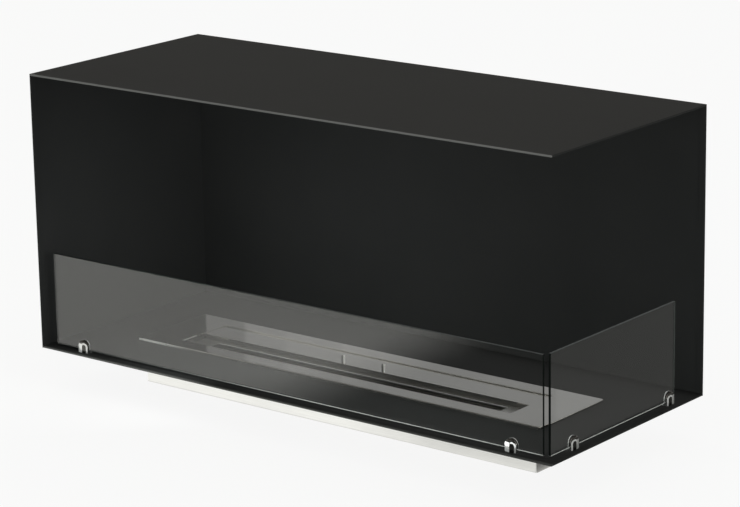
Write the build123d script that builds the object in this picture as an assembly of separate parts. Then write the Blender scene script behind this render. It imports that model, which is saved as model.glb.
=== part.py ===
"""Built-in corner bioethanol fireplace, open at the front and at the right side.

Millimetres, +Z up.  The front faces -Y and the open side faces +X.  The origin is the
centre of the footprint, on the surface that the bottom of the burner box stands on.
"""
from build123d import *
import os

# ---------------------------------------------------------------- housing sizes
HOUSING_WIDTH = 1000.0
HOUSING_DEPTH = 400.0
HOUSING_HEIGHT = 450.0
HOUSING_SHEET = 1.5
HEM_WIDTH = 10.0            # how far a free edge is folded back on itself
HEM_ROUND = 1.2             # radius left on the fold
WALL_HOLE_RADIUS = 4.0      # two fixing holes high in the back panel
WALL_HOLE_SPACING = 600.0
WALL_HOLE_DROP = 40.0       # from the top of the housing to the holes

# ---------------------------------------------------------------- burner sizes
OPENING_LENGTH = 650.0      # of the frame plate, where the recess shows
OPENING_DEPTH = 105.0
OPENING_CORNER = 1.5
BOX_DROP = 68.0             # outer casing below the housing's underside
BOX_SHEET = 1.2
BOX_BEND = 2.0
CUTOUT_GAP = 1.5            # between the casing and the cut-out in the floor

PLATE_END_LIP = 10.5        # frame plate beyond the casing
PLATE_SIDE_LIP = 6.0
PLATE_RISE = 4.0            # top of the plate above the floor of the housing
PLATE_SHEET = 1.5
PLATE_CORNER = 4.0
PLATE_ROUND = 1.2

RECESS_DEPTH = 10.0         # top of the plate down to the tank cover
MOUTH_LENGTH = 575.0
MOUTH_DEPTH = 40.0
MOUTH_CORNER = 2.0

COVER_END_REACH = 20.0      # tank cover beyond the opening of the plate
COVER_SIDE_REACH = 18.5
COVER_END_GAP = 40.8        # tank cover to the inside of the casing
COVER_SIDE_GAP = 3.8
COVER_LIP = 5.0             # tank cover beyond the tank
COVER_SHEET = 1.5
TANK_SHEET = 1.5
TANK_BEND = 3.0
SUPPORT_HEIGHT = 4.8
SUPPORT_WIDTH = 30.0
SUPPORT_SIDE_GAP = 6.0      # support's end to the side of the tank
SUPPORT_SHEET = 1.5
SUPPORT_SPACING = 260.0
FIBRE_GAP = 2.5             # fibre block to the walls of the tank
FIBRE_HEIGHT = 24.0
MESH_SHEET = 1.0
MESH_SLOT_LENGTH = 12.0
MESH_SLOT_WIDTH = 6.0
MESH_PITCH_X = 18.0
MESH_PITCH_Y = 12.0
MESH_COLUMNS = 30
MESH_ROWS = 3

# ---------------------------------------------------------------- sliding lid sizes
LID_SHEET = 1.5
LID_TOP_GAP = 0.5           # lid to the underside of the plate
LID_RUNNING_GAP = 0.3       # lid to the shelves that it runs on
LID_END_OVERLAP = 6.0       # under the plate at each end
LID_REAR_OVERLAP = 2.0      # behind the middle of the opening when shut
LID_CORNER = 1.5
LID_END_GAP = 1.0           # lid to the webs of the rails
RAIL_SHEET = 1.5
RAIL_GAP = 1.0              # rail's inner leg behind the edge of the opening
RAIL_FRONT_REACH = 7.0      # rails beyond the shut lid
DECK_REAR_REACH = 5.0       # rails and deck beyond the parked lid
DECK_GAP = 0.5              # deck and front rest to the rails
DECK_SETBACK = 1.0          # front wall of the deck behind the parked lid's edge
REST_WIDTH = 9.0
STOP_GAP = 0.5
STOP_LENGTH = 3.0
STOP_WIDTH = 4.0
STOP_HEIGHT = 1.8
POST_RADIUS = 3.0
POST_HEIGHT = 12.0
POST_SPACING = 80.0
POST_SETBACK = 6.0          # post axis behind the lid's front edge
POST_GAP = 0.5              # posts to the edge of the opening when the lid is shut
POST_ROUND = 0.8
SPIGOT_RADIUS = 2.0
SPIGOT_GAP = 0.05

# ---------------------------------------------------------------- hold-down sizes
BRACKET_SPACING = 500.0
BRACKET_WIDTH = 20.0
BRACKET_HEIGHT = 22.0
BRACKET_REACH = 20.0
BRACKET_SHEET = 1.5
BRACKET_SCREW_DROP = 12.5   # from the housing floor down to the screw
SCREW_RADIUS = 1.5
SCREW_CLEARANCE = 0.2
SCREW_HEAD_RADIUS = 2.9
SCREW_HEAD_HEIGHT = 1.8
SCREW_LENGTH = 6.0
SCREW_DRIVE = 2.0           # across the flats of the hexagon socket
SCREW_DRIVE_DEPTH = 1.0
NUT_RADIUS = 3.1
NUT_HEIGHT = 2.6
THREAD_GAP = 0.05

# ---------------------------------------------------------------- glass guard sizes
GLASS_THICKNESS = 4.0
GLASS_HEIGHT = 150.0
SIDE_GLASS_HEIGHT = 152.4   # the side pane stands a little taller
GLASS_INSET = 16.0          # middle of a pane to the edge of the floor
GLASS_ARRIS = 0.4
FRONT_PANE_LEFT_GAP = 19.5  # to the left wall
CORNER_GAP = 6.5            # front pane's end to the side pane
SIDE_PANE_REAR_GAP = 57.0   # to the back wall

CLAMP_WIDTH = 21.0
CLAMP_HEIGHT = 20.0
CLAMP_DEPTH = 12.0
CLAMP_CROWN = 32.0          # radius of the slightly bulged faces
CLAMP_ROUND = 2.6
CLAMP_WEB = 4.0             # metal below the slot
LINER = 0.5
LINER_SETBACK = 0.5
FRONT_CLAMP_INSET = 80.0    # middles of the front clamps to the ends of the housing
SIDE_CLAMP_FRONT_INSET = 76.0   # middles of the side clamps to the front and the back
SIDE_CLAMP_REAR_INSET = 72.0
GRUB_RADIUS = 2.0
GRUB_HEIGHT = 12.0          # above the floor of the housing
GRUB_DRIVE = 2.0
GRUB_DRIVE_DEPTH = 1.5
BASE_SCREW_RADIUS = 2.0
BASE_SCREW_CLEARANCE = 0.25
BASE_SCREW_HEAD_RADIUS = 4.5
BASE_SCREW_HEAD_HEIGHT = 1.3
BASE_SCREW_REACH = 3.6      # thread in the web of the clamp
BASE_SCREW_DRIVE = 2.5
BASE_SCREW_DRIVE_DEPTH = 1.3

# ---------------------------------------------------------------- levels and edges
half_width = HOUSING_WIDTH / 2
half_depth = HOUSING_DEPTH / 2
underside = BOX_DROP
hem_top = underside + HOUSING_SHEET
floor_top = hem_top + HOUSING_SHEET
housing_top = underside + HOUSING_HEIGHT
ceiling = housing_top - HOUSING_SHEET
ceiling_hem = ceiling - HOUSING_SHEET
left_wall = -half_width + HOUSING_SHEET
back_wall = half_depth - HOUSING_SHEET

cover_length = OPENING_LENGTH + 2 * COVER_END_REACH
cover_depth = OPENING_DEPTH + 2 * COVER_SIDE_REACH
tank_length = cover_length - 2 * COVER_LIP
tank_depth = cover_depth - 2 * COVER_LIP
box_length = cover_length + 2 * (COVER_END_GAP + BOX_SHEET)
box_depth = cover_depth + 2 * (COVER_SIDE_GAP + BOX_SHEET)
plate_length = box_length + 2 * PLATE_END_LIP
plate_depth = box_depth + 2 * PLATE_SIDE_LIP
support_length = tank_depth - 2 * SUPPORT_SIDE_GAP

plate_top = floor_top + PLATE_RISE
plate_under = plate_top - PLATE_SHEET
cover_top = plate_top - RECESS_DEPTH
cover_under = cover_top - COVER_SHEET
tank_bottom = BOX_SHEET + SUPPORT_HEIGHT
fibre_bottom = tank_bottom + TANK_SHEET
mesh_bottom = fibre_bottom + FIBRE_HEIGHT
mouth_y = -OPENING_DEPTH / 4

lid_top = plate_under - LID_TOP_GAP
lid_under = lid_top - LID_SHEET
shelf_top = lid_under - LID_RUNNING_GAP
shelf_under = shelf_top - RAIL_SHEET
recess_front = -OPENING_DEPTH / 2
lid_length = OPENING_LENGTH + 2 * LID_END_OVERLAP
lid_travel = OPENING_DEPTH / 2 + POST_SETBACK - POST_RADIUS - POST_GAP
lid_depth = lid_travel + LID_REAR_OVERLAP
rail_leg = OPENING_LENGTH / 2 + RAIL_GAP
rail_web = lid_length / 2 + LID_END_GAP
deck_end = rail_leg - DECK_GAP
deck_rear = lid_depth + DECK_REAR_REACH
rail_front = -lid_travel - RAIL_FRONT_REACH

front_pane_y = -half_depth + GLASS_INSET
side_pane_x = half_width - GLASS_INSET
glass_bottom = floor_top + CLAMP_WEB + LINER
glass_top = glass_bottom + GLASS_HEIGHT
side_glass_top = glass_bottom + SIDE_GLASS_HEIGHT
slot_width = GLASS_THICKNESS + 2 * LINER
front_pane_left = left_wall + FRONT_PANE_LEFT_GAP
front_pane_right = side_pane_x - GLASS_THICKNESS / 2 - CORNER_GAP
side_pane_front = front_pane_y + GLASS_THICKNESS / 2
side_pane_rear = back_wall - SIDE_PANE_REAR_GAP

# name, place in plan and turn about Z of each clamp; unturned, its outer face is at -Y
CLAMP_PLACES = {
    "clamp_front_left": (-half_width + FRONT_CLAMP_INSET, front_pane_y, 0),
    "clamp_front_right": (half_width - FRONT_CLAMP_INSET, front_pane_y, 0),
    "clamp_side_front": (side_pane_x, -half_depth + SIDE_CLAMP_FRONT_INSET, 90),
    "clamp_side_rear": (side_pane_x, half_depth - SIDE_CLAMP_REAR_INSET, 90),
}


# ---------------------------------------------------------------- helpers
def block(x0, x1, y0, y1, z0, z1):
    """Rectangular solid between two opposite corners."""
    middle = Pos((x0 + x1) / 2, (y0 + y1) / 2, (z0 + z1) / 2)
    return middle * Box(x1 - x0, y1 - y0, z1 - z0)


def rounded_block(length, depth, z0, z1, corner, x=0.0, y=0.0):
    """Upright prism on a rectangle with rounded corners."""
    outline = RectangleRounded(length, depth, corner)
    return Pos(x, y, z0) * extrude(outline, z1 - z0)


def rod(radius, z0, z1, x=0.0, y=0.0):
    """Upright cylinder."""
    return Pos(x, y, (z0 + z1) / 2) * Cylinder(radius, z1 - z0)


def rod_y(radius, y0, y1, x=0.0, z=0.0):
    """Cylinder along Y."""
    return Pos(x, (y0 + y1) / 2, z) * Rot(90, 0, 0) * Cylinder(radius, y1 - y0)


def hexagon(across_flats, depth):
    """Hexagonal prism standing on the XY plane."""
    return extrude(RegularPolygon(across_flats / 2, 6, major_radius=False), depth)


def edges_along(shape, axis, test):
    """Straight edges parallel to an axis whose centre passes a test."""
    return [edge for edge in shape.edges().filter_by(axis) if test(edge.center())]


def near(value, target):
    return abs(value - target) < 1e-4


def to_clamps(piece):
    """One copy of a piece at each of the glass clamps, from the clamp's own frame."""
    copies = []
    for x, y, turn in CLAMP_PLACES.values():
        copies.append(Pos(x, y, floor_top) * Rot(0, 0, turn) * piece)
    return copies


def group(solids):
    """Separate solids kept in one node."""
    return Compound(children=list(solids))


# ---------------------------------------------------------------- housing
def hemmed_sheet(sheet_z, hem_z):
    """Top or floor sheet with its front and right edges folded back to a round hem."""
    low = min(sheet_z, hem_z)
    high = max(sheet_z, hem_z) + HOUSING_SHEET
    panel = block(left_wall, half_width, -half_depth, back_wall, sheet_z, sheet_z + HOUSING_SHEET)
    panel += block(left_wall, half_width, -half_depth, -half_depth + HEM_WIDTH, low, high)
    panel += block(half_width - HEM_WIDTH, half_width, -half_depth, back_wall, low, high)
    front = edges_along(panel, Axis.X, lambda c: near(c.Y, -half_depth))
    right = edges_along(panel, Axis.Y, lambda c: near(c.X, half_width))
    corner = edges_along(panel, Axis.Z, lambda c: near(c.Y, -half_depth) and near(c.X, half_width))
    return fillet(front + right + corner, HEM_ROUND)


def top_panel():
    return hemmed_sheet(ceiling, ceiling_hem)


def floor_panel():
    """Floor with the burner's cut-out and a screw hole under each glass clamp."""
    panel = hemmed_sheet(hem_top, underside)
    cutout_length = box_length + 2 * CUTOUT_GAP
    cutout_depth = box_depth + 2 * CUTOUT_GAP
    panel -= rounded_block(cutout_length, cutout_depth, underside, floor_top, BOX_BEND)
    for x, y, _ in CLAMP_PLACES.values():
        panel -= rod(BASE_SCREW_RADIUS + BASE_SCREW_CLEARANCE, underside, floor_top, x, y)
    return panel


def left_side_panel():
    panel = block(-half_width, left_wall, -half_depth, half_depth, underside, housing_top)
    hem_back = -half_depth + HEM_WIDTH
    panel += block(left_wall, left_wall + HOUSING_SHEET, -half_depth, hem_back, floor_top, ceiling_hem)
    fold = edges_along(panel, Axis.Z, lambda c: near(c.Y, -half_depth) and not near(c.X, left_wall))
    return fillet(fold, HEM_ROUND)


def back_panel():
    """Back wall with a hemmed right edge and two holes for screws into a wall."""
    panel = block(left_wall, half_width, back_wall, half_depth, underside, housing_top)
    hem_left = half_width - HEM_WIDTH
    panel += block(hem_left, half_width, back_wall - HOUSING_SHEET, back_wall, floor_top, ceiling_hem)
    fold = edges_along(panel, Axis.Z, lambda c: near(c.X, half_width) and not near(c.Y, back_wall))
    panel = fillet(fold, HEM_ROUND)
    hole_z = housing_top - WALL_HOLE_DROP
    for x in (-WALL_HOLE_SPACING / 2, WALL_HOLE_SPACING / 2):
        panel -= rod_y(WALL_HOLE_RADIUS, back_wall, half_depth, x, hole_z)
    return panel


# ---------------------------------------------------------------- burner
def burner_top_plate():
    """Stainless frame that lies on the housing floor: a sheet with turned-down edges."""
    frame = rounded_block(plate_length, plate_depth, floor_top, plate_top, PLATE_CORNER)
    frame = fillet(frame.faces().sort_by(Axis.Z)[-1].edges(), PLATE_ROUND)
    hollow_length = plate_length - 2 * PLATE_SHEET
    hollow_depth = plate_depth - 2 * PLATE_SHEET
    inner_corner = PLATE_CORNER - PLATE_SHEET
    frame -= rounded_block(hollow_length, hollow_depth, floor_top, plate_under, inner_corner)
    frame -= rounded_block(OPENING_LENGTH, OPENING_DEPTH, plate_under, plate_top, OPENING_CORNER)
    return frame


def bracket_places():
    """Place along X and side (-1 front, +1 rear) of each hold-down bracket."""
    return [(x, side) for x in (-BRACKET_SPACING / 2, BRACKET_SPACING / 2) for side in (-1, 1)]


def burner_outer_box():
    """Open-topped casing welded under the plate, with four holes for the brackets' screws."""
    casing = rounded_block(box_length, box_depth, 0, plate_under, BOX_BEND)
    inner_length = box_length - 2 * BOX_SHEET
    inner_depth = box_depth - 2 * BOX_SHEET
    casing -= rounded_block(inner_length, inner_depth, BOX_SHEET, plate_under, BOX_BEND - BOX_SHEET)
    hole = rod_y(SCREW_RADIUS + SCREW_CLEARANCE, -box_depth, 0, z=hem_top - BRACKET_SCREW_DROP)
    for x, side in bracket_places():
        casing -= Pos(x, 0, 0) * Rot(0, 0, 0 if side < 0 else 180) * hole
    return casing


def tank_supports():
    """Channels that hold the tank off the bottom of the casing."""
    channel = block(-SUPPORT_WIDTH / 2, SUPPORT_WIDTH / 2, -support_length / 2, support_length / 2,
                    BOX_SHEET, tank_bottom)
    inside = SUPPORT_WIDTH / 2 - SUPPORT_SHEET
    channel -= block(-inside, inside, -support_length / 2, support_length / 2,
                     BOX_SHEET, tank_bottom - SUPPORT_SHEET)
    return group(Pos(x, 0, 0) * channel for x in (-SUPPORT_SPACING, 0, SUPPORT_SPACING))


def fuel_tank():
    tank = rounded_block(tank_length, tank_depth, tank_bottom, cover_under, TANK_BEND)
    inner_length = tank_length - 2 * TANK_SHEET
    inner_depth = tank_depth - 2 * TANK_SHEET
    tank -= rounded_block(inner_length, inner_depth, fibre_bottom, cover_under, TANK_BEND - TANK_SHEET)
    return tank


def tank_cover():
    """Lid of the tank, with the long mouth that the flames come out of."""
    cover = rounded_block(cover_length, cover_depth, cover_under, cover_top, TANK_BEND)
    cover -= rounded_block(MOUTH_LENGTH, MOUTH_DEPTH, cover_under, cover_top, MOUTH_CORNER, y=mouth_y)
    return cover


def fibre_block():
    """Ceramic fibre that soaks up the fuel."""
    length = tank_length - 2 * TANK_SHEET - 2 * FIBRE_GAP
    depth = tank_depth - 2 * TANK_SHEET - 2 * FIBRE_GAP
    return rounded_block(length, depth, fibre_bottom, mesh_bottom, TANK_BEND)


def retaining_mesh():
    """Slotted sheet on top of the fibre, below the mouth."""
    length = tank_length - 2 * TANK_SHEET - 2 * FIBRE_GAP
    depth = tank_depth - 2 * TANK_SHEET - 2 * FIBRE_GAP
    slot = SlotOverall(MESH_SLOT_LENGTH, MESH_SLOT_WIDTH)
    slots = GridLocations(MESH_PITCH_X, MESH_PITCH_Y, MESH_COLUMNS, MESH_ROWS) * slot
    sheet = rounded_block(length, depth, mesh_bottom, mesh_bottom + MESH_SHEET, TANK_BEND)
    return sheet - Pos(0, mouth_y, mesh_bottom) * extrude(Sketch(children=list(slots)), MESH_SHEET)


# ---------------------------------------------------------------- lid and its guides
def lid_rail(side):
    """Z-section at one end: inner leg on the tank cover, shelf, and web up to the plate."""
    leg = block(rail_leg, rail_leg + RAIL_SHEET, rail_front, deck_rear, cover_top, shelf_top)
    shelf = block(rail_leg, rail_web + RAIL_SHEET, rail_front, deck_rear, shelf_under, shelf_top)
    web = block(rail_web, rail_web + RAIL_SHEET, rail_front, deck_rear, shelf_under, plate_under)
    rail = leg + shelf + web
    return rail if side > 0 else mirror(rail, Plane.YZ)


def lid_deck():
    """Channel on the tank cover that lies under the parked lid."""
    deck = block(-deck_end, deck_end, DECK_SETBACK, deck_rear, cover_top, shelf_top)
    deck -= block(-deck_end, deck_end, DECK_SETBACK + RAIL_SHEET, deck_rear - RAIL_SHEET,
                  cover_top, shelf_under)
    return deck


def lid_front_rest():
    """Angle under the plate's front strip that carries the front edge of the shut lid."""
    rear = recess_front - RAIL_GAP
    front = rear - REST_WIDTH
    leg = block(-deck_end, deck_end, rear - RAIL_SHEET, rear, cover_top, shelf_top)
    shelf = block(-deck_end, deck_end, front, rear, shelf_under, shelf_top)
    return leg + shelf


def lid_stops():
    """Small blocks on the shelves that end the lid's travel both ways."""
    outer = rail_web - LID_END_GAP
    stops = []
    for x0 in (-outer, outer - STOP_WIDTH):
        for y0 in (-lid_travel - STOP_GAP - STOP_LENGTH, lid_depth + STOP_GAP):
            stops.append(block(x0, x0 + STOP_WIDTH, y0, y0 + STOP_LENGTH, shelf_top, shelf_top + STOP_HEIGHT))
    return group(stops)


def post_places():
    return [(-POST_SPACING / 2, POST_SETBACK), (POST_SPACING / 2, POST_SETBACK)]


def slide_lid():
    """Flat lid, parked behind the mouth; it slides forward over the mouth to put the fire out."""
    lid = rounded_block(lid_length, lid_depth, lid_under, lid_top, LID_CORNER, y=lid_depth / 2)
    for x, y in post_places():
        lid -= rod(SPIGOT_RADIUS + SPIGOT_GAP, lid_under, lid_top, x, y)
    return lid


def lid_handle_posts():
    """Two posts that a hook pushes to slide the lid."""
    post = rod(POST_RADIUS, lid_top, lid_top + POST_HEIGHT)
    post = fillet(post.faces().sort_by(Axis.Z)[-1].edges(), POST_ROUND)
    post += rod(SPIGOT_RADIUS, lid_under, lid_top)
    return group(Pos(x, y, 0) * post for x, y in post_places())


# ---------------------------------------------------------------- hold-down brackets
def to_brackets(piece):
    """One copy of a front piece at each bracket, turned round for the rear ones."""
    return group(Pos(x, 0, 0) * Rot(0, 0, 0 if side < 0 else 180) * piece for x, side in bracket_places())


def hold_down_brackets():
    """Angles screwed to the casing that bear up against the underside of the floor."""
    wall = -box_depth / 2
    half = BRACKET_WIDTH / 2
    angle = block(-half, half, wall - BRACKET_SHEET, wall, hem_top - BRACKET_HEIGHT, hem_top)
    angle += block(-half, half, wall - BRACKET_REACH, wall, hem_top - BRACKET_SHEET, hem_top)
    screw_z = hem_top - BRACKET_SCREW_DROP
    angle -= rod_y(SCREW_RADIUS + SCREW_CLEARANCE, wall - BRACKET_SHEET, wall, z=screw_z)
    return to_brackets(angle)


def hold_down_screws():
    seat = -box_depth / 2 - BRACKET_SHEET
    screw_z = hem_top - BRACKET_SCREW_DROP
    screw = rod_y(SCREW_HEAD_RADIUS, seat - SCREW_HEAD_HEIGHT, seat, z=screw_z)
    screw = fillet(screw.faces().sort_by(Axis.Y)[0].edges(), SCREW_HEAD_HEIGHT / 3)
    screw += rod_y(SCREW_RADIUS, seat, seat + SCREW_LENGTH, z=screw_z)
    drive = Pos(0, seat - SCREW_HEAD_HEIGHT, screw_z) * Rot(-90, 0, 0) * hexagon(SCREW_DRIVE, SCREW_DRIVE_DEPTH)
    return to_brackets(screw - drive)


def hold_down_nuts():
    """Round press nuts on the inside of the casing."""
    face = -box_depth / 2 + BOX_SHEET
    screw_z = hem_top - BRACKET_SCREW_DROP
    nut = rod_y(NUT_RADIUS, face, face + NUT_HEIGHT, z=screw_z)
    return to_brackets(nut - rod_y(SCREW_RADIUS + THREAD_GAP, face, face + NUT_HEIGHT, z=screw_z))


# ---------------------------------------------------------------- glass guard
def arched_block(width, height, depth):
    """Arch-shaped prism through the clamp: straight sides, half-round top, depth along Y."""
    radius = width / 2
    shoulder = height - radius
    outline = Polyline((-radius, shoulder), (-radius, 0), (radius, 0), (radius, shoulder))
    outline += ThreePointArc((radius, shoulder), (0, height), (-radius, shoulder))
    return Pos(0, depth / 2, 0) * Rot(90, 0, 0) * extrude(make_face(outline), depth)


def clamp():
    """Chromed glass clamp in its own frame: origin on the floor, outer face at -Y."""
    body = arched_block(CLAMP_WIDTH, CLAMP_HEIGHT, CLAMP_DEPTH)
    for side in (-1, 1):
        crown = Cylinder(CLAMP_CROWN, 3 * CLAMP_HEIGHT)
        body &= Pos(0, side * (CLAMP_CROWN - CLAMP_DEPTH / 2), 0) * crown
    rims = [edge for edge in body.edges() if edge.center().Z > 1e-3 and abs(edge.center().Y) > CLAMP_DEPTH / 4]
    body = fillet(rims, CLAMP_ROUND)
    slot_half = slot_width / 2
    body -= block(-CLAMP_WIDTH, CLAMP_WIDTH, -slot_half, slot_half, CLAMP_WEB, 2 * CLAMP_HEIGHT)
    body -= rod_y(GRUB_RADIUS + THREAD_GAP, slot_half, CLAMP_DEPTH, z=GRUB_HEIGHT)
    return body - rod(BASE_SCREW_RADIUS + THREAD_GAP, 0, CLAMP_WEB)


def clamp_liner():
    """Thin U of silicone between the glass and the slot."""
    liner = arched_block(CLAMP_WIDTH - 2 * LINER_SETBACK, CLAMP_HEIGHT - LINER_SETBACK, slot_width)
    liner -= block(-CLAMP_WIDTH, CLAMP_WIDTH, -slot_width, slot_width, 0, CLAMP_WEB)
    glass_half = GLASS_THICKNESS / 2
    liner -= block(-CLAMP_WIDTH, CLAMP_WIDTH, -glass_half, glass_half, CLAMP_WEB + LINER, 2 * CLAMP_HEIGHT)
    return liner


def clamp_grub_screw():
    """Set screw in the inner jaw, flush with the face of the jaw."""
    start = slot_width / 2
    end = CLAMP_DEPTH / 2 - THREAD_GAP
    screw = rod_y(GRUB_RADIUS, start, end, z=GRUB_HEIGHT)
    socket = Pos(0, end, GRUB_HEIGHT) * Rot(90, 0, 0) * hexagon(GRUB_DRIVE, GRUB_DRIVE_DEPTH)
    return screw - socket


def clamp_base_screw():
    """Wafer-head screw from under the floor into the web of the clamp."""
    screw = rod(BASE_SCREW_HEAD_RADIUS, -HOUSING_SHEET - BASE_SCREW_HEAD_HEIGHT, -HOUSING_SHEET)
    screw += rod(BASE_SCREW_RADIUS, -HOUSING_SHEET, BASE_SCREW_REACH)
    drive = hexagon(BASE_SCREW_DRIVE, BASE_SCREW_DRIVE_DEPTH)
    return screw - Pos(0, 0, -HOUSING_SHEET - BASE_SCREW_HEAD_HEIGHT) * drive


def front_glass_pane():
    half = GLASS_THICKNESS / 2
    pane = block(front_pane_left, front_pane_right, front_pane_y - half, front_pane_y + half,
                 glass_bottom, glass_top)
    return chamfer(pane.edges(), GLASS_ARRIS)


def side_glass_pane():
    half = GLASS_THICKNESS / 2
    pane = block(side_pane_x - half, side_pane_x + half, side_pane_front, side_pane_rear,
                 glass_bottom, side_glass_top)
    return chamfer(pane.edges(), GLASS_ARRIS)


# ---------------------------------------------------------------- every node
def all_nodes():
    nodes = {
        "top_panel": top_panel(),
        "floor_panel": floor_panel(),
        "left_side_panel": left_side_panel(),
        "back_panel": back_panel(),
        "burner_top_plate": burner_top_plate(),
        "burner_outer_box": burner_outer_box(),
        "tank_supports": tank_supports(),
        "fuel_tank": fuel_tank(),
        "tank_cover": tank_cover(),
        "fibre_block": fibre_block(),
        "retaining_mesh": retaining_mesh(),
        "lid_rail_left": lid_rail(-1),
        "lid_rail_right": lid_rail(1),
        "lid_deck": lid_deck(),
        "lid_front_rest": lid_front_rest(),
        "lid_stops": lid_stops(),
        "slide_lid": slide_lid(),
        "lid_handle_posts": lid_handle_posts(),
        "hold_down_brackets": hold_down_brackets(),
        "hold_down_screws": hold_down_screws(),
        "hold_down_nuts": hold_down_nuts(),
        "front_glass_pane": front_glass_pane(),
        "side_glass_pane": side_glass_pane(),
        "clamp_liners": group(to_clamps(clamp_liner())),
        "clamp_grub_screws": group(to_clamps(clamp_grub_screw())),
        "clamp_base_screws": group(to_clamps(clamp_base_screw())),
    }
    for name, body in zip(CLAMP_PLACES, to_clamps(clamp())):
        nodes[name] = body
    return nodes


os.makedirs("parts", exist_ok=True)
for name, shape in all_nodes().items():
    export_step(shape, f"parts/{name}.step")
print(f"lid travel {lid_travel:.1f} mm, overall height {housing_top:.1f} mm")
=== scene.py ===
"""Looks of the corner bioethanol fireplace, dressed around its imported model.

Metres, +Z up. The front faces -Y, the open end faces +X, and the burner box stands on Z = 0.
"""

from math import pi

import bmesh
import bpy
from mathutils import Matrix, Vector


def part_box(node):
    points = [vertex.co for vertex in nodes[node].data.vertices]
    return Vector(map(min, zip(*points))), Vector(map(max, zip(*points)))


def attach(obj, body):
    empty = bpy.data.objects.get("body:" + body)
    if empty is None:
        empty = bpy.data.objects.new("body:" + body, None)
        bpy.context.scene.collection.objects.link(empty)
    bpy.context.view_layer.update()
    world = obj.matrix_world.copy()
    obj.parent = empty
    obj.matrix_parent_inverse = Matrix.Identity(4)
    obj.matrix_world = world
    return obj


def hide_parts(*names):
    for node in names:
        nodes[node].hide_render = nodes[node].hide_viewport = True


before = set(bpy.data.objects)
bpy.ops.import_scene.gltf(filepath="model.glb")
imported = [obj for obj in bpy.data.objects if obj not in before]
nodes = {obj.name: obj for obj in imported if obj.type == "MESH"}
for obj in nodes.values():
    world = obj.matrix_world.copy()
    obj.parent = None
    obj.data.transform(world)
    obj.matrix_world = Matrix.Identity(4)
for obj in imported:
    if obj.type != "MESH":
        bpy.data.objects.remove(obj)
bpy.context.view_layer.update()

MM = 0.001

# Places on the part that the finishes follow, in metres from its origin.
TOP_RIM = (-199.6 * MM, -196.8 * MM)
HEM_FACE = (-199.8 * MM, -199.6 * MM)
HEM_CORNER = (-196.8 * MM, -195.6 * MM)
OPENING_HALF_LENGTH = 324.8 * MM
OPENING_HALF_DEPTH = 52.4 * MM
PLATE_FRONT = -81.7 * MM
RECESS_LEFT = (-326.0 * MM, -324.9 * MM)
RECESS_LEFT_LIT = (-52.5 * MM, -22.0 * MM)
MOUTH_REAR = (-6.6 * MM, -5.6 * MM)
MOUTH_RIM_HEIGHT = 62.8 * MM
POST_OUT = 40.0 * MM
POST_BACK = 6.0 * MM
CASING_RIGHT = 386.2 * MM
CASING_FOOT_SHADOW = (0.6 * MM, 2.2 * MM)
CLAMP_FLOOR = 71.0 * MM
FRONT_CLAMP_ROW = 184.0 * MM    # in front of the origin
FRONT_CLAMP_OUT = 420.0 * MM    # to either side of the origin
SIDE_CLAMP_ROW = 484.0 * MM
SIDE_CLAMP_NEAR = 124.0 * MM    # in front of the origin
SIDE_CLAMPS_APART = 252.0 * MM

# Places on a clamp: out from its pane, along the pane towards the open corner, and up.
JAW_BEGINS, JAW_FULL = 2.8 * MM, 3.2 * MM
# Where the painted highlights and the painted dark reflection lie on a clamp's outer jaw.
HIGHLIGHT_HALF_END = (-1.2 * MM, -0.2 * MM)
HIGHLIGHT_HALF_TOP = (13.5 * MM, 15.5 * MM)
ARCH_MIDDLE = 3.4 * MM
ARCH_SPRING = 9.5 * MM
ARCH_RIM = (4.2 * MM, 6.2 * MM)
ARCH_RIM_START = (-1.6 * MM, 0.0)


# ------------------------------------------------------------------ finishes: the tools
class Value:
    """A shader socket in an expression: each operator adds its Math node."""

    def __init__(self, finish, socket):
        self.finish = finish
        self.socket = socket

    def math(self, operation, first, second=0.0, clamp=False):
        """The Math node for an operation on two sockets or numbers."""
        settings = {"operation": operation, "use_clamp": clamp}
        made = self.finish.node("Math", settings, {0: first, 1: second})
        return Value(self.finish, made.outputs[0])

    def __add__(self, other):
        return self.math("ADD", self, other)

    def __sub__(self, other):
        return self.math("SUBTRACT", self, other)

    def __rsub__(self, other):
        return self.math("SUBTRACT", other, self)

    def __mul__(self, other):
        return self.math("MULTIPLY", self, other)

    def __pow__(self, other):
        return self.math("POWER", self, other)

    __radd__ = __add__
    __rmul__ = __mul__

    def most(self, other):
        return self.math("MAXIMUM", self, other)

    def far(self):
        return self.math("ABSOLUTE", self)

    def held(self):
        """The value kept between 0 and 1."""
        return self.math("ADD", self, 0.0, clamp=True)

    def over(self, low, high):
        """A soft step: 0 below low, 1 above high."""
        span = {"Value": self, "From Min": low, "From Max": high}
        made = self.finish.node("MapRange", {"interpolation_type": "SMOOTHSTEP"}, span)
        return Value(self.finish, made.outputs["Result"])


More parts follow.
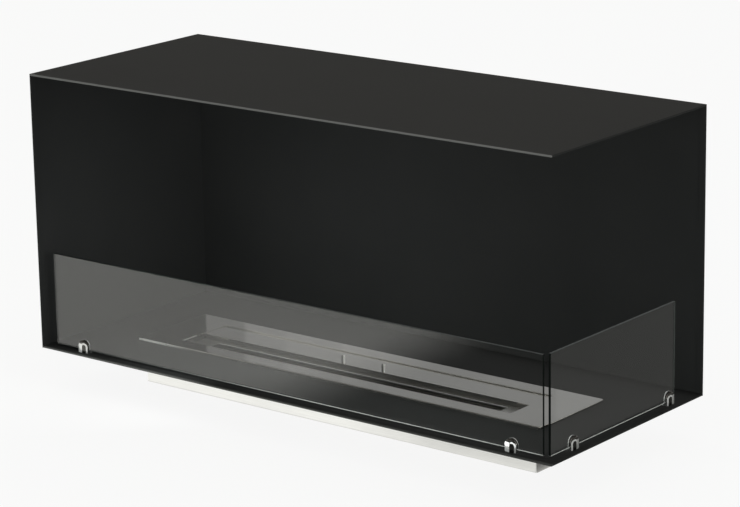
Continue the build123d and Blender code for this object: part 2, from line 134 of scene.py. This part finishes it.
class Finish:
    """One material or sky, and the nodes that make its pattern."""

    def __init__(self, name, kind="Material"):
        made = bpy.data.materials if kind == "Material" else bpy.data.worlds
        self.material = made.new(name)
        self.material.use_nodes = True
        self.tree = self.material.node_tree
        self.tree.nodes.clear()
        self.output = self.node("Output" + kind)
        where = "Object" if kind == "Material" else "Generated"
        self.place = self.node("TexCoord").outputs[where]

    def node(self, kind, settings=None, sockets=None):
        """Any node: its settings first, then the values or links of its sockets."""
        made = self.tree.nodes.new("ShaderNode" + kind)
        for name, value in (settings or {}).items():
            setattr(made, name, value)
        for name, value in (sockets or {}).items():
            self.feed(made.inputs[name], value)
        return made

    def feed(self, socket, value):
        if isinstance(value, Value):
            value = value.socket
        if isinstance(value, bpy.types.NodeSocket):
            self.tree.links.new(value, socket)
        elif socket.type == "RGBA" and len(value) == 3:
            socket.default_value = (*value, 1.0)
        else:
            socket.default_value = value

    def along(self, axis):
        """The place along X, Y or Z, in metres."""
        return Value(self, self.node("SeparateXYZ", None, {0: self.place}).outputs[axis])

    def stretched(self, scale):
        """Object coordinates, scaled along each axis."""
        return self.node("Mapping", None, {"Vector": self.place, "Scale": scale}).outputs[0]

    def noise(self, scale, detail=2.0, rough=0.5, grain=None):
        """Noise between 0 and 1; grain stretches it along the axes."""
        sockets = {"Scale": scale, "Detail": detail, "Roughness": rough}
        sockets["Vector"] = self.stretched(grain) if grain else self.place
        return Value(self, self.node("TexNoise", None, sockets).outputs["Fac"])

    def cells(self, scale):
        """Distance to the nearest of scattered points."""
        made = self.node("TexVoronoi", None, {"Scale": scale, "Vector": self.place})
        return Value(self, made.outputs["Distance"])

    def blend(self, factor, first, second):
        """The first colour where the factor is 0, the second where it is 1."""
        return self.node("Mix", {"data_type": "RGBA"}, {0: factor, 6: first, 7: second}).outputs[2]

    def bump(self, height, depth, strength):
        """A normal from a height of 0 to 1 that stands for depth, in metres."""
        sockets = {"Height": height, "Distance": depth, "Strength": strength}
        return self.node("Bump", None, sockets).outputs["Normal"]

    def surface(self, **sockets):
        """The Principled shader; its sockets are named with _ for a space."""
        named = {name.replace("_", " "): value for name, value in sockets.items()}
        return self.node("BsdfPrincipled", None, named).outputs[0]

    def mix(self, factor, first, second):
        return self.node("MixShader", None, {0: factor, 1: first, 2: second}).outputs[0]

    def done(self, shader):
        self.feed(self.output.inputs["Surface"], shader)
        return self.material


# ------------------------------------------------------------------ finishes
def powder_coat(name, tone=1.0, place=None, mark=(0.0, 0.0, 0.0)):
    """Black satin powder coat with fine orange peel and faint clouds.

    place masks the painted highlights, which have mark's colour.
    """
    f = Finish(name)
    peel = f.noise(420.0, 3.0, 0.55)
    grit = f.noise(1900.0, 1.0)
    clouds = f.noise(5.0, 3.0, 0.6)
    deep = [channel * tone for channel in (0.0140, 0.0146, 0.0143)]
    bloom = [channel * tone for channel in (0.0164, 0.0168, 0.0164)]
    colour = f.blend(clouds.over(0.3, 0.7), deep, bloom)
    if place:
        colour = f.blend(place(f), colour, mark)
    rough = 0.58 + clouds * 0.08 + grit * 0.05
    normal = f.bump(peel * 0.8 + grit * 0.2, 0.05 * MM, 0.4)
    return f.done(f.surface(Base_Color=colour, Roughness=rough, Normal=normal,
                            Specular_IOR_Level=0.08))


def top_edge_highlight(f):
    """Painted highlight along the front edge of the top panel."""
    return 1.0 - f.along("Y").over(*TOP_RIM)


def front_hem_highlight(f):
    """Painted highlight on the folded front edge of the floor panel, paler to the left, and on its
    upper corner.
    """
    x, y = f.along("X"), f.along("Y")
    face = 1.0 - y.over(*HEM_FACE)
    corner = 1.0 - y.over(*HEM_CORNER)
    return (face * (1.0 - x.over(-0.3, 0.5) * 0.6)).most(corner * 0.3)


# Steel colours of painted shade and of painted highlights.
SHADED_STEEL = (0.16, 0.16, 0.155)
PAINTED_HIGHLIGHT_STEEL = (0.93, 0.92, 0.90)


def brushed_steel(name, tone, base_rough, grain, dull=None, pale=None):
    """Stainless sheet with a fine grain along one axis and faint clouds.

    dull masks places painted dark as shade, and pale masks painted highlights, which are also
    rougher and less metallic.
    """
    f = Finish(name)
    fine = f.noise(1.0, 2.0, 0.6, grain)
    coarse = f.noise(1.0, 2.0, 0.5, [scale * 0.22 for scale in grain])
    clouds = f.noise(9.0, 3.0, 0.55)
    bright = [channel * 1.04 for channel in tone]
    dim = [channel * 0.92 for channel in tone]
    colour = f.blend((fine * 0.6 + clouds * 0.4).over(0.3, 0.7), dim, bright)
    rough = base_rough + (fine - 0.5) * 0.06 + (clouds - 0.5) * 0.04
    # Painted shade where dull is given, then painted highlights where pale is given.
    if dull:
        shade = dull(f)
        colour = f.blend(shade, colour, SHADED_STEEL)
        rough = rough + shade * 0.3
    lustre = 1.0
    if pale:
        cut = pale(f)
        colour = f.blend(cut, colour, PAINTED_HIGHLIGHT_STEEL)
        rough = rough + cut * 0.45
        lustre = 1.0 - cut * 0.35
    normal = f.bump(fine * 0.6 + coarse * 0.4, 0.006 * MM, 0.3)
    return f.done(f.surface(Base_Color=colour, Roughness=rough, Metallic=lustre, Normal=normal))


def between(value, low, high, soft):
    """1 between low and high, with soft flanks."""
    return value.over(low - soft, low) * (1.0 - value.over(high, high + soft))


def opening_edge(x, y):
    """A long cut edge of the plate's opening; y is measured from the opening's middle."""
    along = 1.0 - x.far().over(OPENING_HALF_LENGTH, OPENING_HALF_LENGTH + 0.6 * MM)
    return between(y, OPENING_HALF_DEPTH, OPENING_HALF_DEPTH + 0.4 * MM, 0.2 * MM) * along


def plate_front(y):
    """The plate's front edge, where it meets the floor."""
    return 1.0 - y.over(PLATE_FRONT - 0.25 * MM, PLATE_FRONT)


def plate_shadow_lines(f):
    """Painted shadow along the opening's long cut edges, fainter at the left, and along the
    plate's front edge where it meets the floor.
    """
    x, y = f.along("X"), f.along("Y")
    inner = opening_edge(x, y.far()) * x.over(-0.30, 0.30) * 0.5
    return inner.most(plate_front(y) * x.over(-0.26, -0.12))


def plate_bright_edges(f):
    """Painted highlight on the cut edges that catch the light at the plate's left end, and faintly
    on the opening's rear edge.
    """
    x, y = f.along("X"), f.along("Y")
    outer = plate_front(y) * (1.0 - x.over(-0.39, -0.27)) * 0.7
    end = between(x, *RECESS_LEFT, 0.2 * MM) * between(y, *RECESS_LEFT_LIT, 8.0 * MM) * 0.45
    return outer.most(end).most(opening_edge(x, y) * 0.12)


def mouth_rim_highlight(f):
    """Painted highlight on the cut rear edge of the long mouth."""
    top = f.along("Z").over(MOUTH_RIM_HEIGHT, MOUTH_RIM_HEIGHT + 0.4 * MM)
    return between(f.along("Y"), *MOUTH_REAR, 0.2 * MM) * top * 0.45


def post_side(f):
    """How far each place on a post lies from its middle towards the open corner."""
    x, y = f.along("X"), f.along("Y")
    from_middle = x + POST_OUT - x.over(-1.0 * MM, 1.0 * MM) * (2.0 * POST_OUT)
    return from_middle * 0.78 + (y - POST_BACK) * 0.62


def post_shade(f):
    """Painted shade on the dark side of a post."""
    return 1.0 - post_side(f).over(-1.4 * MM, -0.2 * MM)


def post_glint(f):
    """Painted highlight on the bright side of a post."""
    return post_side(f).over(0.0, 0.8 * MM)


def casing_shade(f):
    """Painted shade: a contact shadow along the foot of the casing, and its right end in shade."""
    foot = (1.0 - f.along("Z").over(*CASING_FOOT_SHADOW)) * 0.25
    return foot.most(f.along("X").over(CASING_RIGHT, CASING_RIGHT + 0.6 * MM) * 0.5)


def clamp_frame(f):
    """The place on a clamp along the pane, out from it and up, and 1 on the two front clamps.

    It is measured from the middle of the clamp's foot, and along the pane towards the open corner.
    """
    x, y, z = (f.along(axis) for axis in "XYZ")
    on_right, on_rear = (place.over(-1.0 * MM, 1.0 * MM) for place in (x, y))
    front = 1.0 - y.over(-165.0 * MM, -160.0 * MM)
    side = 1.0 - front
    by_front = x + FRONT_CLAMP_OUT - on_right * (2.0 * FRONT_CLAMP_OUT)
    by_side = on_rear * SIDE_CLAMPS_APART - y - SIDE_CLAMP_NEAR
    along = by_front * front + by_side * side
    out = (y * -1.0 - FRONT_CLAMP_ROW) * front + (x - SIDE_CLAMP_ROW) * side
    return along, out, z - CLAMP_FLOOR, front


CHROME_TONE = (0.95, 0.95, 0.94)
WIPED_TONE = (0.88, 0.88, 0.87)
# Colours of the clamps' painted dark reflection and painted highlights.
CLAMP_DARK_REFLECTION = (0.085, 0.085, 0.08)
CLAMP_HALF_HIGHLIGHT = (0.55, 0.55, 0.53)
CLAMP_RIM_HIGHLIGHT = (0.62, 0.62, 0.61)


def satin_chrome():
    """Chrome drawn up and down, with faint wipe marks.

    The outer jaw carries a painted reflection: painted highlights on the half away from the corner
    and along its arched rim, and a painted dark reflection between them. The inner jaw is dull.
    """
    f = Finish("satin_chrome")
    wipes = f.noise(160.0, 4.0, 0.6)
    hairlines = f.noise(1.0, 1.0, 0.5, (5200.0, 5200.0, 300.0))
    along, out, up, front = clamp_frame(f)
    outer = out.over(JAW_BEGINS, JAW_FULL)
    inner = 1.0 - out.over(-JAW_FULL, -JAW_BEGINS)
    beside, above = along - ARCH_MIDDLE, (up - ARCH_SPRING).most(0.0)
    from_arch = (beside * beside + above * above) ** 0.5
    # Painted reflection: the rim and the far half are painted highlights, paler and less metallic,
    # and the rest of the outer jaw is a painted dark reflection.
    rim = outer * between(from_arch, *ARCH_RIM, 0.6 * MM) * along.over(*ARCH_RIM_START)
    half = outer * (1.0 - along.over(*HIGHLIGHT_HALF_END)) * (1.0 - up.over(*HIGHLIGHT_HALF_TOP))
    dark = outer * (1.0 - rim) * (1.0 - half)
    colour = f.blend(wipes.over(0.35, 0.75), CHROME_TONE, WIPED_TONE)
    colour = f.blend(dark, colour, CLAMP_DARK_REFLECTION)
    colour = f.blend(half * (1.0 - front), colour, CLAMP_HALF_HIGHLIGHT)
    colour = f.blend(rim * front, colour, CLAMP_RIM_HIGHLIGHT)
    dulled = (rim * (0.35 + front * 0.03)).most(half * (0.45 + front * 0.15)).most(inner * 0.9)
    rough = 0.13 + wipes.over(0.4, 0.8) * 0.04 + hairlines * 0.02
    normal = f.bump(hairlines, 0.003 * MM, 0.3)
    return f.done(f.surface(Base_Color=colour, Roughness=rough, Metallic=1.0 - dulled,
                            Normal=normal, Anisotropic=0.8, Anisotropic_Rotation=0.25))


def let_lamps_through(f, shader, tint):
    """Glass that doesn't stop light from the lamps."""
    path = f.node("LightPath")
    clear = f.node("BsdfTransparent", None, {"Color": tint}).outputs[0]
    return f.mix(path.outputs["Is Shadow Ray"], shader, clear)


def float_glass():
    """Clear float glass with the faintest wipe marks."""
    f = Finish("clear_float_glass")
    wipes = f.noise(14.0, 4.0, 0.6, (1.0, 1.0, 2.5))
    rough = wipes.over(0.55, 0.85) * 0.03
    shader = f.surface(Base_Color=(0.975, 0.985, 0.978), Roughness=rough,
                       Transmission_Weight=1.0, IOR=1.52)
    return f.done(let_lamps_through(f, shader, (0.96, 0.975, 0.965)))


def ground_glass():
    """The panes' arrises and edges: green-grey, finely ground, with small chips.

    The front pane's are coloured nearly black, as painted shade.
    """
    f = Finish("ground_glass_edge")
    grind = f.noise(2600.0, 2.0)
    chips = f.cells(700.0)
    colour = f.blend(grind, (0.020, 0.026, 0.023), (0.045, 0.055, 0.050))
    # Painted shade: the front pane's edges are nearly black, and the side pane's keep the ground
    # grey-green.
    on_side_pane = f.along("X").over(0.46, 0.47)
    colour = f.blend(on_side_pane, (0.006, 0.008, 0.007), colour)
    normal = f.bump(grind * 0.6 + chips * 0.4, 0.02 * MM, 0.4)
    return f.done(f.surface(Base_Color=colour, Roughness=0.20 + grind * 0.15, Normal=normal,
                            Specular_IOR_Level=0.3))


def dark_ground_glass():
    """Painted shade: the upright edges at the open corner, coloured nearly black as they look
    through the glass.
    """
    f = Finish("dark_ground_glass")
    grind = f.noise(2600.0, 2.0)
    colour = f.blend(grind, (0.002, 0.003, 0.0025), (0.006, 0.008, 0.007))
    return f.done(f.surface(Base_Color=colour, Roughness=0.35 + grind * 0.2,
                            Specular_IOR_Level=0.05))


def bright_ground_glass():
    """Painted light on the panes' lower edges, which gather the light inside the glass: pale to
    the right, dark to the left.
    """
    f = Finish("bright_ground_glass")
    grind = f.noise(2600.0, 2.0)
    gather = f.along("X").over(-0.30, 0.10)
    pale = f.blend(grind, (0.78, 0.79, 0.77), (0.90, 0.91, 0.88))
    colour = f.blend(gather, (0.10, 0.105, 0.10), pale)
    return f.done(f.surface(Base_Color=colour, Roughness=0.35 + grind * 0.2))


def black_rubber():
    """Matt black liner strip, slightly dusty."""
    f = Finish("black_rubber")
    dust = f.noise(500.0, 3.0)
    colour = f.blend(dust.over(0.4, 0.8), (0.016, 0.016, 0.015), (0.030, 0.029, 0.027))
    normal = f.bump(f.noise(1500.0, 2.0), 0.03 * MM, 0.4)
    return f.done(f.surface(Base_Color=colour, Roughness=0.60 + dust * 0.15, Normal=normal))


def ceramic_wool():
    """Pressed ceramic fibre: tangled fibres, small tufts and a cream tone."""
    f = Finish("ceramic_wool")
    fibres = f.noise(1.0, 4.0, 0.7, (260.0, 900.0, 900.0))
    cross = f.noise(1.0, 4.0, 0.7, (900.0, 240.0, 900.0))
    tufts = f.cells(90.0)
    tangle = fibres.most(cross)
    colour = f.blend(tangle.over(0.35, 0.75), (0.62, 0.60, 0.55), (0.86, 0.85, 0.80))
    normal = f.bump(tangle * 0.6 + tufts * 0.4, 0.5 * MM, 0.8)
    return f.done(f.surface(Base_Color=colour, Roughness=0.9 + tangle * 0.08, Normal=normal,
                            Sheen_Weight=0.4, Sheen_Roughness=0.5))


def zinc_plate():
    """Bright zinc plating with a patchy, slightly blue bloom."""
    f = Finish("zinc_plate")
    spangle = f.cells(420.0)
    bloom = f.noise(60.0, 4.0, 0.6)
    colour = f.blend(bloom.over(0.35, 0.7), (0.60, 0.61, 0.63), (0.50, 0.51, 0.52))
    rough = 0.28 + bloom * 0.18 + spangle * 0.08
    normal = f.bump(spangle, 0.02 * MM, 0.3)
    return f.done(f.surface(Base_Color=colour, Roughness=rough, Metallic=1.0, Normal=normal))


ALONG_X = (30.0, 2400.0, 2400.0)
ROUND_TURNED = (1800.0, 1800.0, 1800.0)
SATIN_TONE = (0.62, 0.61, 0.585)
DULL_TONE = (0.22, 0.218, 0.21)
CASING_TONE = (0.94, 0.945, 0.94)
TANK_TONE = (0.50, 0.495, 0.48)
MESH_TONE = (0.86, 0.85, 0.82)
PIN_TONE = (0.90, 0.89, 0.87)

PAINT = powder_coat("black_powder_coat")
# Painted light: the top and floor panels take the same black coat made 1.12 and 1.1 times lighter,
# each with a painted highlight along its front edge.
TOP_PAINT = powder_coat("black_top_coat", 1.12, top_edge_highlight, (0.145, 0.145, 0.140))
FLOOR_PAINT = powder_coat("black_floor_coat", 1.1, front_hem_highlight, (0.105, 0.106, 0.100))
PLATE_STEEL = brushed_steel("satin_plate_steel", SATIN_TONE, 0.10, ALONG_X,
                            plate_shadow_lines, plate_bright_edges)
LID_STEEL = brushed_steel("satin_lid_steel", SATIN_TONE, 0.10, ALONG_X)
DECK_STEEL = brushed_steel("dull_deck_steel", DULL_TONE, 0.40, ALONG_X)
CASING_STEEL = brushed_steel("satin_casing_steel", CASING_TONE, 0.30, ALONG_X, casing_shade)
TANK_STEEL = brushed_steel("tank_steel", TANK_TONE, 0.38, ALONG_X, None, mouth_rim_highlight)
MESH_STEEL = brushed_steel("mesh_steel", MESH_TONE, 0.45, ALONG_X)
PIN_STEEL = brushed_steel("turned_pin_steel", PIN_TONE, 0.26, ROUND_TURNED,
                          post_shade, post_glint)
CHROME = satin_chrome()
GLASS = float_glass()
GROUND_EDGE = ground_glass()
LOWER_EDGE = bright_ground_glass()
CORNER_EDGE = dark_ground_glass()
RUBBER = black_rubber()
WOOL = ceramic_wool()
ZINC = zinc_plate()

NODE_FINISH = {
    "top_panel": TOP_PAINT,
    "floor_panel": FLOOR_PAINT,
    "left_side_panel": PAINT,
    "back_panel": PAINT,
    "burner_top_plate": PLATE_STEEL,
    "slide_lid": LID_STEEL,
    "burner_outer_box": CASING_STEEL,
    "lid_deck": DECK_STEEL,
    "lid_front_rest": DECK_STEEL,
    "lid_rail_left": DECK_STEEL,
    "lid_rail_right": DECK_STEEL,
    "lid_stops": DECK_STEEL,
    "tank_cover": TANK_STEEL,
    "fuel_tank": TANK_STEEL,
    "tank_supports": TANK_STEEL,
    "retaining_mesh": MESH_STEEL,
    "lid_handle_posts": PIN_STEEL,
    "clamp_front_left": CHROME,
    "clamp_front_right": CHROME,
    "clamp_side_front": CHROME,
    "clamp_side_rear": CHROME,
    "clamp_liners": RUBBER,
    "clamp_grub_screws": ZINC,
    "clamp_base_screws": ZINC,
    "hold_down_brackets": ZINC,
    "hold_down_screws": ZINC,
    "hold_down_nuts": ZINC,
}

for name, finish in NODE_FINISH.items():
    mesh = nodes[name].data
    mesh.materials.clear()
    mesh.materials.append(finish)


# ------------------------------------------------------------------ pieces: the tools
def piece(name, bm, materials, body, replaced, smooth_angle=None):
    """A finished mesh as a piece of the object, riding on its body for its node."""
    mesh = bpy.data.meshes.new(name)
    bm.to_mesh(mesh)
    bm.free()
    for material in materials:
        mesh.materials.append(material)
    made = bpy.data.objects.new(name, mesh)
    bpy.context.scene.collection.objects.link(made)
    if smooth_angle is not None:
        mesh.shade_smooth()
        mesh.set_sharp_from_angle(angle=smooth_angle)
    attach(made, body)
    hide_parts(replaced)
    return made


def block(bm, low, high):
    """A box between two corners."""
    low, high = Vector(low), Vector(high)
    size = Matrix.Diagonal((*(high - low), 1.0))
    return bmesh.ops.create_cube(bm, size=1.0, matrix=Matrix.Translation((low + high) / 2) @ size)


def round_edges(bm, edges, radius, segments):
    """A bevel along edges: flat with one segment, round with more."""
    return bmesh.ops.bevel(bm, geom=edges, offset=radius, segments=segments, affect="EDGES",
                           profile=0.5, material=-1)


# ------------------------------------------------------------------ glass panes
ARRIS = 0.4 * MM
POLISHED, GROUND, LOWER, CORNER = range(4)
PANE_FINISHES = [GLASS, GROUND_EDGE, LOWER_EDGE, CORNER_EDGE]


def pane(name, node, across):
    """A pane with polished faces across one axis; its edges and arrises are ground."""
    low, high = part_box(node)
    bm = bmesh.new()
    block(bm, low, high)
    round_edges(bm, bm.edges[:], ARRIS, 1)
    for face in bm.faces:
        middle = face.calc_center_median()
        at_right_end = across == 1 and middle.x > high[0] - ARRIS
        at_front_end = across == 0 and middle.y < low[1] + ARRIS
        if abs(face.normal[across]) > 0.99:
            face.material_index = POLISHED
        elif middle.z < low[2] + ARRIS:
            face.material_index = LOWER
        elif at_right_end or at_front_end:
            face.material_index = CORNER
        else:
            face.material_index = GROUND
    return piece(name, bm, PANE_FINISHES, "fireplace", node)


pane("front_pane", "front_glass_pane", 1)
pane("side_pane", "side_glass_pane", 0)


# ------------------------------------------------------------------ fibre block
PAD_ROUNDING = 2.5 * MM
PAD_SPANS = ((0, 0.1, 95), (1, 0.1, 17), (2, 0.02, 3))    # axis, shortest edge cut, cuts


def fibre_pad():
    """The pressed fibre block, with soft rounded edges."""
    low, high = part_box("fibre_block")
    bm = bmesh.new()
    block(bm, low, high)
    for axis, shortest, cuts in PAD_SPANS:
        spans = [e for e in bm.edges if abs(e.verts[0].co[axis] - e.verts[1].co[axis]) > shortest]
        bmesh.ops.subdivide_edges(bm, edges=spans, cuts=cuts, use_grid_fill=True)
    rim = [e for e in bm.edges if e.calc_face_angle(0.0) > 1.0]
    round_edges(bm, rim, PAD_ROUNDING, 3)
    bmesh.ops.recalc_face_normals(bm, faces=bm.faces[:])
    return piece("ceramic_fibre_pad", bm, [WOOL], "fireplace", "fibre_block",
                 smooth_angle=0.9)


fibre_pad()


# ------------------------------------------------------------------ studio
WHITE = (1.0, 1.0, 0.997)
WARM_GREY = (0.31, 0.285, 0.26)
MIRRORED_WHITE = (1.04, 1.03, 0.98)
MIRRORED_DARK = (0.04, 0.04, 0.038)
FLAG_DARK = (0.05, 0.05, 0.047)
FLOOR_TONE = (0.80, 0.80, 0.795)
FLOOR_REACH = 30.0
FLAG_REACH = 1.6
FLAG_MIDDLE = (0.6, -0.2, 1.0 * MM)


def stage(name, bm, material):
    """A mesh of the studio, which is no piece of the object."""
    mesh = bpy.data.meshes.new(name)
    bm.to_mesh(mesh)
    bm.free()
    mesh.materials.append(material)
    made = bpy.data.objects.new(name, mesh)
    bpy.context.scene.collection.objects.link(made)
    return made


def background_rays(f):
    """1 on rays from the camera and from mirrors and glass, which see the background."""
    path = f.node("LightPath")
    camera, glossy, through = (Value(f, path.outputs["Is " + kind + " Ray"])
                               for kind in ("Camera", "Glossy", "Transmission"))
    return (camera + glossy + through).held()


def mirrored_rays(f):
    """1 on rays that a glossy surface has turned."""
    return Value(f, f.node("LightPath").outputs["Glossy Depth"]).held()


def floor_finish():
    """Pale floor that stays white behind the object and keeps a soft shadow."""
    f = Finish("pale_floor")
    paint = f.node("BsdfDiffuse", None, {"Color": FLOOR_TONE}).outputs[0]
    white = f.blend(mirrored_rays(f), WHITE, MIRRORED_WHITE)
    glow = f.node("Emission", None, {"Color": white}).outputs[0]
    return f.done(f.mix(background_rays(f) * 0.9, paint, glow))


def pale_floor():
    """The floor, which reaches past the edges of every view."""
    bm = bmesh.new()
    bmesh.ops.create_grid(bm, x_segments=1, y_segments=1, size=FLOOR_REACH)
    return stage("floor", bm, floor_finish())


def flag_finish():
    """Soft-edged cards for reflections: dark far in front, grey near the casing and the right."""
    f = Finish("soft_flags")
    x, y = f.along("X"), f.along("Y")
    front = x.over(-0.26, -0.02) * (1.0 - x.over(0.50, 0.62)) * (1.0 - y.over(-0.38, -0.32))
    near = x.over(-0.05, 0.25) * (1.0 - x.over(0.36, 0.42)) * (1.0 - y.over(-0.10, -0.04))
    end_across = x.over(0.38, 0.41) * (1.0 - x.over(0.56, 0.64))
    end = end_across * y.over(-0.10, -0.06) * (1.0 - y.over(0.16, 0.22))
    side = x.over(0.36, 0.42)
    shade = front.most(side * 0.86).most(near * 0.29).most(end * 0.97) * mirrored_rays(f)
    clear = f.node("BsdfTransparent").outputs[0]
    black = f.node("Emission", None, {"Color": FLAG_DARK}).outputs[0]
    return f.done(f.mix(shade, clear, black))


def dark_flags():
    """One sheet just above the floor that carries the soft cards; only reflections see it."""
    bm = bmesh.new()
    bmesh.ops.create_grid(bm, x_segments=1, y_segments=1, size=FLAG_REACH)
    bmesh.ops.translate(bm, verts=bm.verts[:], vec=FLAG_MIDDLE)
    made = stage("flags", bm, flag_finish())
    for kind in ("camera", "diffuse", "shadow", "volume_scatter"):
        setattr(made, "visible_" + kind, False)
    return made


def lamp(name, place, aim, size, power, colour=(1.0, 1.0, 1.0), kinds=()):
    """A soft rectangular lamp that shines from place to aim; kinds are the rays that miss it."""
    data = bpy.data.lights.new(name, "AREA")
    data.shape = "RECTANGLE"
    data.size, data.size_y = size
    data.energy = power
    data.color = colour
    made = bpy.data.objects.new(name, data)
    made.location = place
    made.rotation_euler = (Vector(aim) - Vector(place)).to_track_quat("-Z", "Y").to_euler()
    for kind in kinds:
        setattr(made, "visible_" + kind, False)
    bpy.context.scene.collection.objects.link(made)
    return made


def soft_world():
    """Even soft light, white behind the object.

    Mirrors see it greyer overhead, and dark along the horizon in front.
    """
    f = Finish("soft_world", "World")
    x, y, z = f.along("X"), f.along("Y"), f.along("Z")
    front = between(x, -0.45, 0.35, 0.12) * (1.0 - y.over(-0.3, 0.0)) * (1.0 - z.over(0.25, 0.40))
    sweep = f.blend(z.over(0.10, 0.42), f.blend(front, MIRRORED_WHITE, MIRRORED_DARK), WARM_GREY)
    soft = f.node("Background", None, {"Color": (0.96, 1.0, 0.98), "Strength": 0.6}).outputs[0]
    white = f.node("Background", None, {"Color": WHITE, "Strength": 0.97}).outputs[0]
    reflected = f.node("Background", None, {"Color": sweep}).outputs[0]
    seen = f.mix(mirrored_rays(f), white, reflected)
    bpy.context.scene.world = f.done(f.mix(background_rays(f), soft, seen))


CAMERA_PLACE = (2.72286, -3.3915, 1.43175)
CAMERA_RIGHT = (0.784779, 0.619559, -0.016698)
CAMERA_UP = (-0.148869, 0.214587, 0.965286)
CAMERA_BACK = (0.601639, -0.75505, 0.260632)
CAMERA_SENSOR = 36.0     # mm
CAMERA_LENS = 141.773    # mm


def photo_camera():
    """The camera at the photograph's place, angle and frame."""
    data = bpy.data.cameras.new("photo_camera")
    data.sensor_width = CAMERA_SENSOR
    data.lens = CAMERA_LENS
    data.clip_end = 60.0
    camera = bpy.data.objects.new("photo_camera", data)
    turn = Matrix((CAMERA_RIGHT, CAMERA_UP, CAMERA_BACK)).transposed().to_4x4()
    camera.matrix_world = Matrix.Translation(CAMERA_PLACE) @ turn
    bpy.context.scene.collection.objects.link(camera)
    bpy.context.scene.camera = camera


pale_floor()
dark_flags()
soft_world()

NOT_SEEN = ("camera", "transmission")
ONLY_DIFFUSE = NOT_SEEN + ("glossy",)
ONLY_GLOSSY = NOT_SEEN + ("diffuse",)
WARM, COOL, INNER = (1.0, 0.94, 0.88), (0.95, 1.0, 1.0), (0.97, 1.0, 1.0)
lamp("top_softbox", (0.0, 0.0, 3.0), (0.0, 0.0, 0.3), (2.4, 1.8), 9.0, WARM, NOT_SEEN)
lamp("front_softbox", (-0.9, -4.6, 0.50), (-0.3, 0.0, 0.3), (2.4, 0.8), 20.0, COOL, NOT_SEEN)
lamp("side_softbox", (3.8, -1.6, 0.6), (0.0, 0.0, 0.3), (2.0, 0.9), 40.0, kinds=ONLY_DIFFUSE)
lamp("inner_front", (0.05, -0.19, 0.17), (0.05, 0.2, 0.17), (0.8, 0.18), 1.4, INNER, ONLY_DIFFUSE)
lamp("inner_corner", (-0.15, -0.19, 0.22), (-0.50, 0.2, 0.17), (0.3, 0.2), 0.9, INNER,
     ONLY_DIFFUSE)

# Strips of light before the back panel that only reflections show: their ends and brightness.
REAR_STRIPS = (
    (-0.50, -0.41, 0.12),
    (-0.41, -0.32, 0.205),
    (-0.32, -0.20, 0.24),
    (-0.20, -0.12, 0.275),
    (-0.12, 0.10, 0.295),
    (0.10, 0.23, 0.305),
    (0.23, 0.495, 0.34),
)
STRIP_HEIGHT = 0.42
for left, right, level in REAR_STRIPS:
    middle, width = (left + right) / 2, right - left
    lamp("rear_fill", (middle, 0.197, 0.29), (middle, -1.0, 0.29), (width, STRIP_HEIGHT),
         level * pi * width * STRIP_HEIGHT, kinds=ONLY_GLOSSY)

photo_camera()
bpy.context.scene.view_settings.view_transform = "Standard"
